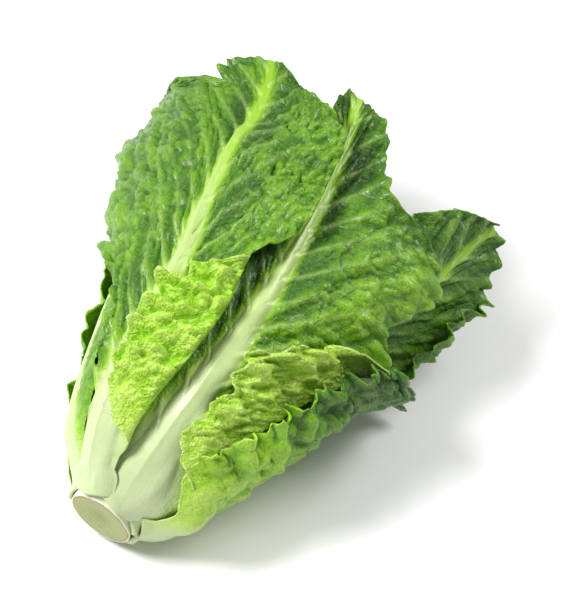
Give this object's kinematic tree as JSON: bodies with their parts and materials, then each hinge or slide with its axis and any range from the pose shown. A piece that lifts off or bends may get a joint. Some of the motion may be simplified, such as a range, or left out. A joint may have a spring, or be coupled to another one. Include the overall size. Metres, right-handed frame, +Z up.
{
  "type": "romaine lettuce head",
  "caption": "Head of romaine lettuce lying on its side: long overlapping leaves with thick pale midribs and frilled edges round a cut stem.",
  "frame": {"origin": "centre of the bounding box's footprint, on the table the head lies on", "axes": "+X along the head from the cut butt to the leaf tips, +Y to the left of a viewer who looks from the butt to the tips, +Z up"},
  "size_m": [0.2562, 0.2272, 0.1218],
  "materials": {
    "stem": "moist cut stem, semi-matte",
    "heart_leaf": "waxy pale leaf, soft sheen",
    "inner_leaf": "waxy leaf, soft sheen",
    "outer_leaf": "waxy leaf, soft sheen"
  },
  "bodies": {
    "root": {"stem_core": "stem", "heart_leaf_1": "heart_leaf", "heart_leaf_2": "heart_leaf", "heart_leaf_3": "heart_leaf", "third_leaf_1": "inner_leaf", "third_leaf_2": "inner_leaf", "third_leaf_3": "inner_leaf", "third_leaf_4": "inner_leaf", "second_leaf_1": "inner_leaf", "second_leaf_2": "inner_leaf", "second_leaf_3": "inner_leaf", "second_leaf_4": "inner_leaf", "second_leaf_5": "inner_leaf", "right_leaf": "outer_leaf", "left_leaf": "outer_leaf", "under_leaf": "outer_leaf", "middle_leaf": "outer_leaf", "low_right_leaf": "outer_leaf", "low_left_leaf": "outer_leaf", "upper_left_leaf": "outer_leaf"}
  },
  "joints": []
}
